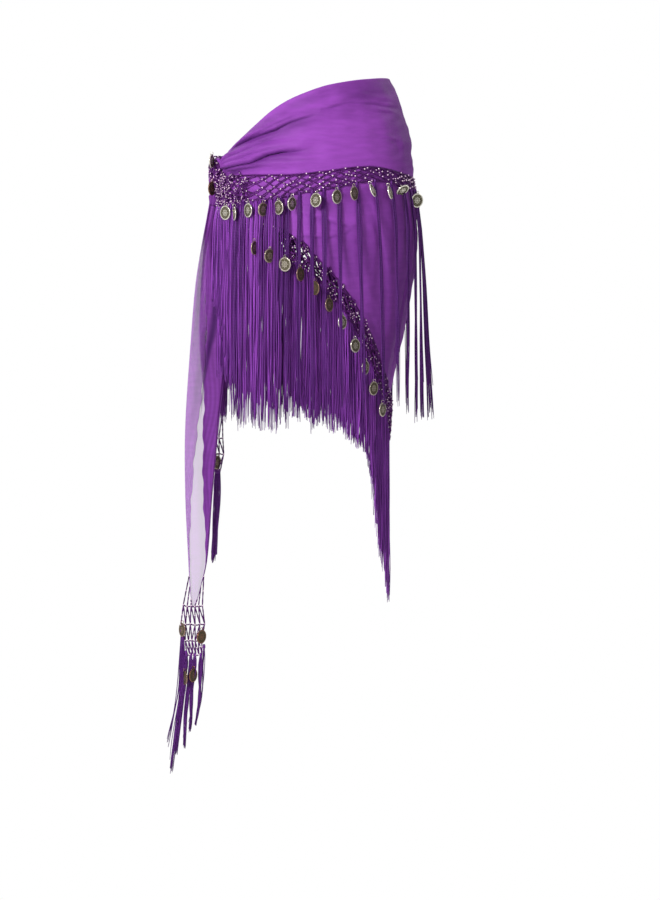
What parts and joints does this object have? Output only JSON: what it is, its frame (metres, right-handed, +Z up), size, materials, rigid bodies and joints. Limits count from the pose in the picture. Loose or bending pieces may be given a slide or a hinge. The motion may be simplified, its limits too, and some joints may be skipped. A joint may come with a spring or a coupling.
{
  "type": "belly dance hip scarf",
  "caption": "Fringed chiffon hip scarf with a beaded net border and hanging coins, folded over, wound round the hips and tied at one side, kept in its worn hollow form.",
  "frame": {"origin": "on the upright axis of the hips inside the scarf, at the middle height of its slanting top edge", "axes": "+Z up, -Y towards the back of the wearer, +X towards the wearer's right side, with the knot at -X"},
  "size_m": [0.4105, 0.2591, 1.1438],
  "materials": {
    "chiffon": "sheer crepe chiffon, violet, soft sheen",
    "yarn": "dark violet rayon cord with small pale beads",
    "coin": "thin pressed disc, antiqued silver with a worn bright rim"
  },
  "bodies": {
    "root": {"upper_wrap": "chiffon", "under_wrap": "chiffon", "knot": "chiffon", "long_tail": "chiffon", "short_tail": "chiffon", "upper_net_back": "yarn", "upper_net_front": "yarn", "under_net_back": "yarn", "under_net_front": "yarn", "long_tail_net": "yarn", "short_tail_net": "yarn", "upper_fringe_back": "yarn", "upper_fringe_front": "yarn", "under_fringe_back": "yarn", "under_fringe_front": "yarn", "long_tail_tassels": "yarn", "short_tail_fringe": "yarn", "upper_coin_00": "coin", "upper_coin_01": "coin", "upper_coin_02": "coin", "upper_coin_03": "coin", "upper_coin_04": "coin", "upper_coin_05": "coin", "upper_coin_06": "coin", "upper_coin_07": "coin", "upper_coin_08": "coin", "upper_coin_09": "coin", "upper_coin_10": "coin", "upper_coin_11": "coin", "under_coin_00": "coin", "under_coin_01": "coin", "under_coin_02": "coin", "under_coin_03": "coin", "under_coin_04": "coin", "under_coin_05": "coin", "under_coin_06": "coin", "under_coin_07": "coin", "under_coin_08": "coin", "under_coin_09": "coin", "under_coin_10": "coin", "front_coin_00": "coin", "front_coin_01": "coin", "front_coin_02": "coin", "front_coin_03": "coin", "front_coin_04": "coin", "front_coin_05": "coin", "front_coin_06": "coin", "front_coin_07": "coin", "front_coin_08": "coin", "knot_coin_0": "coin", "knot_coin_1": "coin", "long_tail_coin_0": "coin", "long_tail_coin_1": "coin", "long_tail_coin_2": "coin", "long_tail_coin_3": "coin", "short_tail_coin_0": "coin"}
  },
  "joints": []
}
